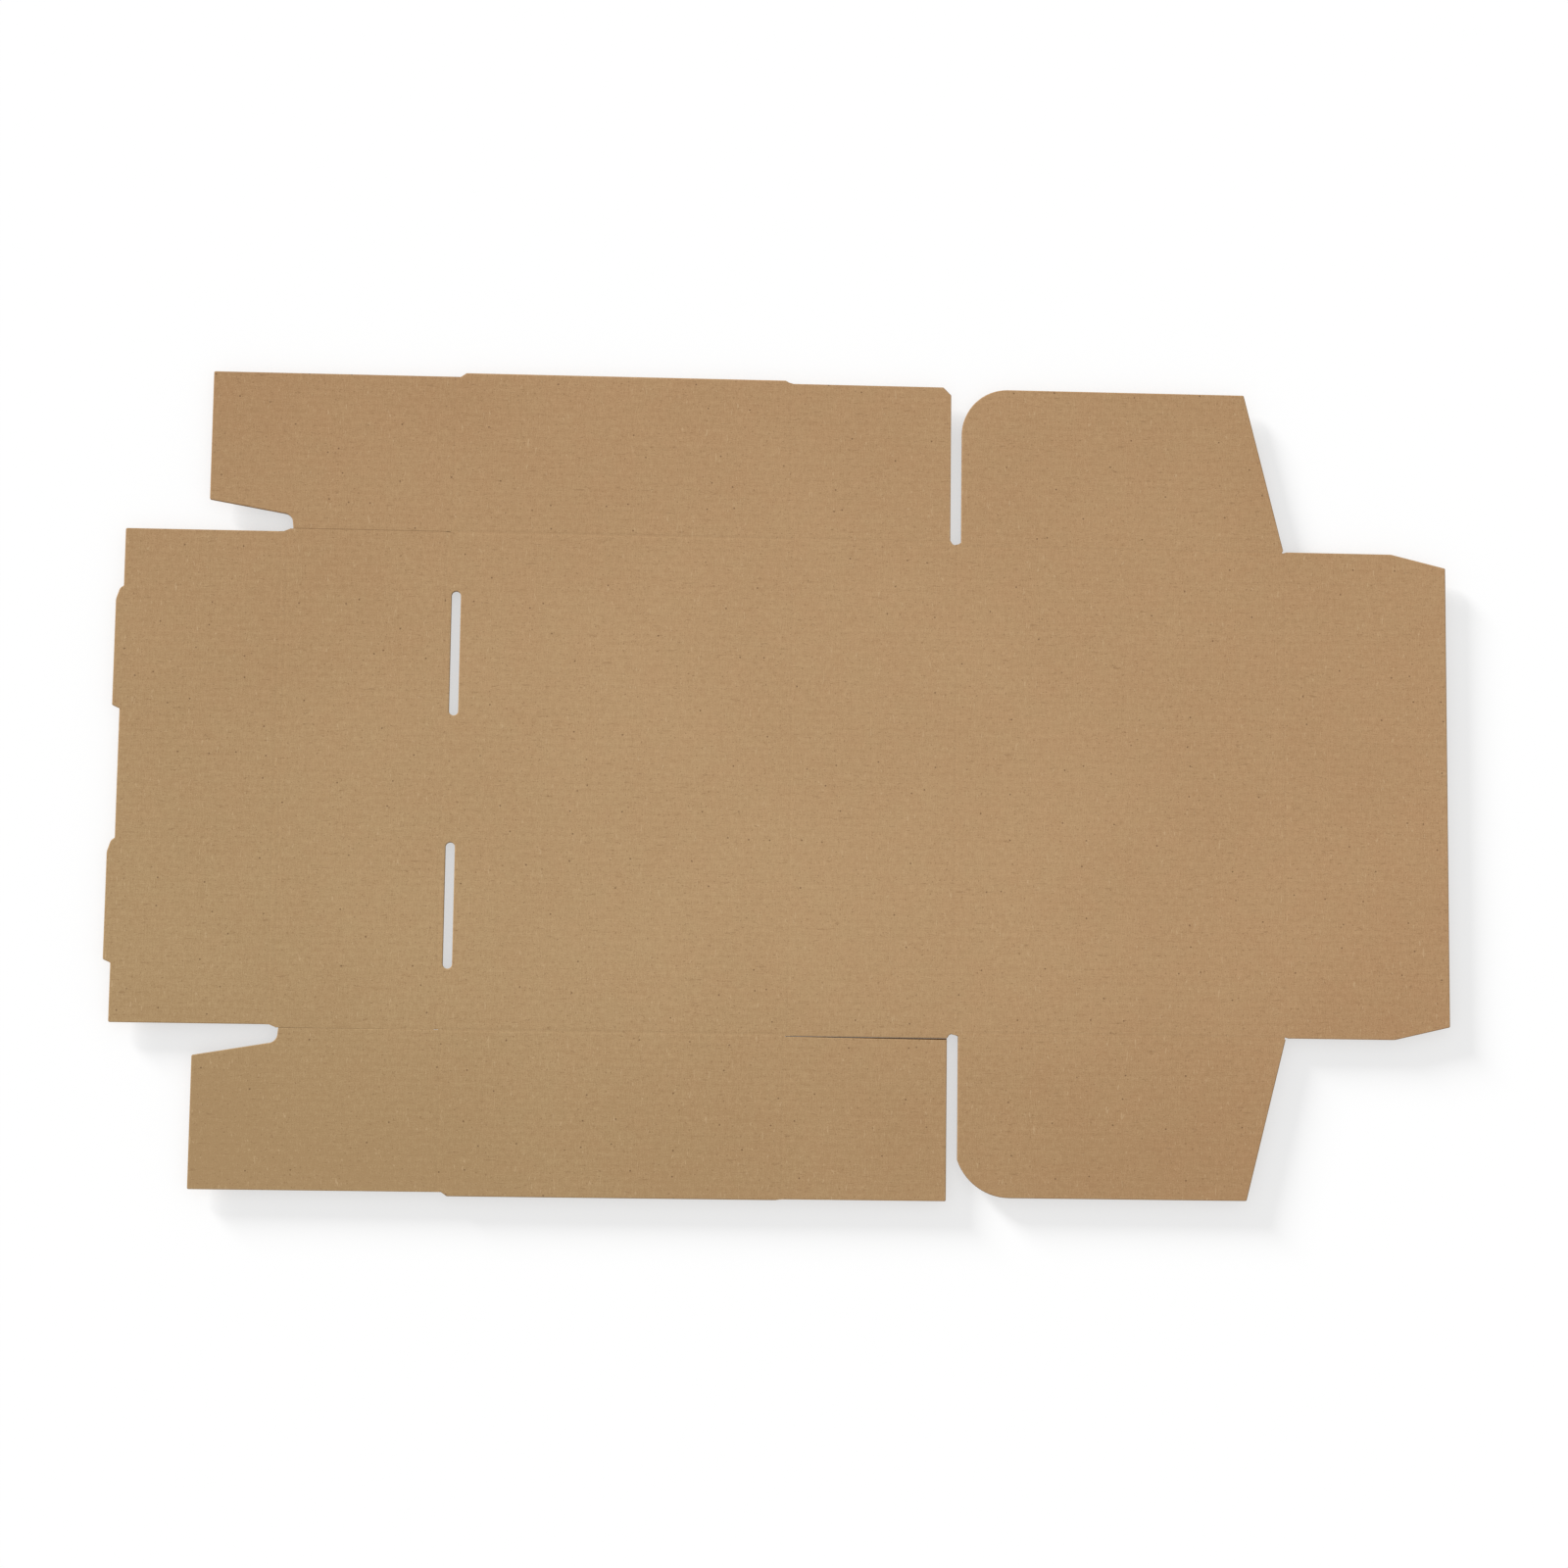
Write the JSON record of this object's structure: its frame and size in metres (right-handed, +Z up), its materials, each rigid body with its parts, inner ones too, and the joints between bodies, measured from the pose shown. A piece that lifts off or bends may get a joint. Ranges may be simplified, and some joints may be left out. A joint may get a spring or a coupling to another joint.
{
  "type": "cardboard shipping box",
  "caption": "Flat die-cut corrugated mailer box blank with hinged walls, lid and flaps that fold up into a roll-over-front, tuck-top box.",
  "frame": {"origin": "middle of the flat blank's outline, on its underside", "axes": "+X from the front panel's locking tabs to the tuck flap, along the flutes; +Y to the box's left side; +Z up, out of the inside face"},
  "size_m": [0.6152, 0.3786, 0.0016],
  "materials": {
    "kraft_board": "uncoated brown kraft liner, matt"
  },
  "bodies": {
    "bottom": {"bottom": "kraft_board"},
    "front_wall": {"front_wall": "kraft_board"},
    "front_top_strip": {"front_top_strip": "kraft_board"},
    "front_inner_panel": {"front_inner_panel": "kraft_board"},
    "left_side_wall": {"left_side_wall": "kraft_board"},
    "left_front_corner_flap": {"left_front_corner_flap": "kraft_board"},
    "left_rear_corner_flap": {"left_rear_corner_flap": "kraft_board"},
    "right_side_wall": {"right_side_wall": "kraft_board"},
    "right_front_corner_flap": {"right_front_corner_flap": "kraft_board"},
    "right_rear_corner_flap": {"right_rear_corner_flap": "kraft_board"},
    "back_wall": {"back_wall": "kraft_board"},
    "lid": {"lid": "kraft_board"},
    "left_dust_flap": {"left_dust_flap": "kraft_board"},
    "right_dust_flap": {"right_dust_flap": "kraft_board"},
    "tuck_flap": {"tuck_flap": "kraft_board"}
  },
  "joints": [
    {"name": "front_wall_fold", "type": "hinge", "parent": "bottom", "child": "front_wall", "pos_m": [-0.1569, 0, 0.0016], "axis": [0, 1, 0], "range_deg": [0, 90]},
    {"name": "front_top_fold", "type": "hinge", "parent": "front_wall", "child": "front_top_strip", "pos_m": [-0.23025, 0, 0.0016], "axis": [0, 1, 0], "range_deg": [0, 90]},
    {"name": "inner_panel_fold", "type": "hinge", "parent": "front_top_strip", "child": "front_inner_panel", "pos_m": [-0.23305, 0, 0.0016], "axis": [0, 1, 0], "range_deg": [0, 90]},
    {"name": "left_side_fold", "type": "hinge", "parent": "bottom", "child": "left_side_wall", "pos_m": [-0.07692, 0.1145, 0.0016], "axis": [1, 0, 0], "range_deg": [0, 90]},
    {"name": "left_front_corner_fold", "type": "hinge", "parent": "left_side_wall", "child": "left_front_corner_flap", "pos_m": [-0.1547, 0.151, 0.0016], "axis": [0, 1, 0], "range_deg": [0, 90]},
    {"name": "left_rear_corner_fold", "type": "hinge", "parent": "left_side_wall", "child": "left_rear_corner_flap", "pos_m": [0.00085, 0.151, 0.0016], "axis": [0, -1, 0], "range_deg": [0, 90]},
    {"name": "right_side_fold", "type": "hinge", "parent": "bottom", "child": "right_side_wall", "pos_m": [-0.07692, -0.1145, 0.0016], "axis": [-1, 0, 0], "range_deg": [0, 90]},
    {"name": "right_front_corner_fold", "type": "hinge", "parent": "right_side_wall", "child": "right_front_corner_flap", "pos_m": [-0.1547, -0.151, 0.0016], "axis": [0, 1, 0], "range_deg": [0, 90]},
    {"name": "right_rear_corner_fold", "type": "hinge", "parent": "right_side_wall", "child": "right_rear_corner_flap", "pos_m": [0.00085, -0.151, 0.0016], "axis": [0, -1, 0], "range_deg": [0, 90]},
    {"name": "back_wall_fold", "type": "hinge", "parent": "bottom", "child": "back_wall", "pos_m": [0.00265, 0, 0.0016], "axis": [0, -1, 0], "range_deg": [0, 90]},
    {"name": "lid_fold", "type": "hinge", "parent": "back_wall", "child": "lid", "pos_m": [0.07855, 0, 0.0016], "axis": [0, -1, 0], "range_deg": [0, 90]},
    {"name": "left_dust_fold", "type": "hinge", "parent": "lid", "child": "left_dust_flap", "pos_m": [0.1552, 0.1126, 0.0016], "axis": [1, 0, 0], "range_deg": [0, 90]},
    {"name": "right_dust_fold", "type": "hinge", "parent": "lid", "child": "right_dust_flap", "pos_m": [0.1552, -0.1126, 0.0016], "axis": [-1, 0, 0], "range_deg": [0, 90]},
    {"name": "tuck_fold", "type": "hinge", "parent": "lid", "child": "tuck_flap", "pos_m": [0.23185, 0, 0.0016], "axis": [0, -1, 0], "range_deg": [0, 90]}
  ]
}
